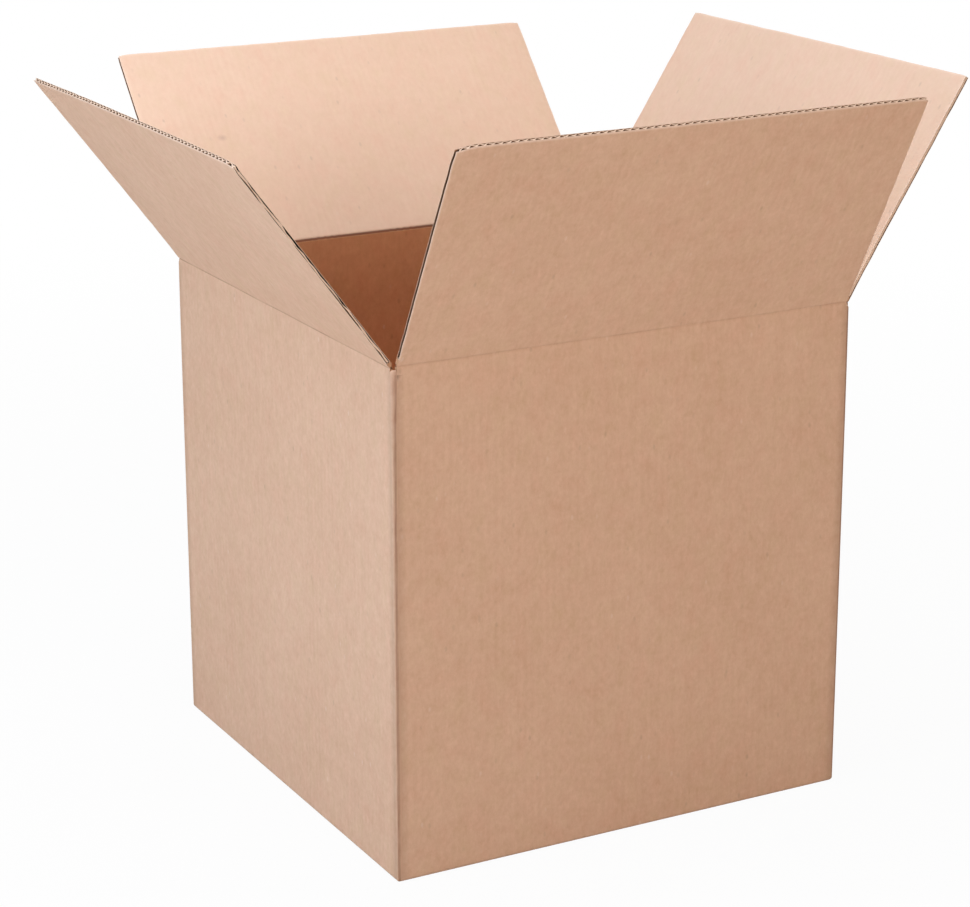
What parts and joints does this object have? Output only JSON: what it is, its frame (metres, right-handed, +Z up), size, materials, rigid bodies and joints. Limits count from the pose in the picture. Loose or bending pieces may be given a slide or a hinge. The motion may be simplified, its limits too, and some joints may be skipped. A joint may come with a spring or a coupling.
{
  "type": "open cardboard box",
  "caption": "Plain corrugated shipping box standing open, with a closed glued bottom and hinged top flaps that lean outwards.",
  "frame": {"origin": "middle of the underside, on the surface that the box stands on", "axes": "+X along the front wall to the right, +Y from the front wall to the back wall, +Z up through the open top"},
  "size_m": [0.731, 0.7246, 0.6753],
  "materials": {
    "kraft_board": "matte"
  },
  "bodies": {
    "box": {"box_body": "kraft_board"},
    "front": {"front_flap": "kraft_board"},
    "back": {"back_flap": "kraft_board"},
    "left": {"left_flap": "kraft_board"},
    "right": {"right_flap": "kraft_board"}
  },
  "joints": [
    {"name": "front_crease", "type": "hinge", "parent": "box", "child": "front", "pos_m": [0, -0.2305, 0.4713], "axis": [1, 0, 0], "range_deg": [-118, 122]},
    {"name": "back_crease", "type": "hinge", "parent": "box", "child": "back", "pos_m": [0, 0.2305, 0.4713], "axis": [-1, 0, 0], "range_deg": [-131.5, 108.5]},
    {"name": "left_crease", "type": "hinge", "parent": "box", "child": "left", "pos_m": [-0.2325, 0, 0.469], "axis": [0, -1, 0], "range_deg": [-127, 138]},
    {"name": "right_crease", "type": "hinge", "parent": "box", "child": "right", "pos_m": [0.2325, 0, 0.469], "axis": [0, 1, 0], "range_deg": [-123, 142]}
  ]
}
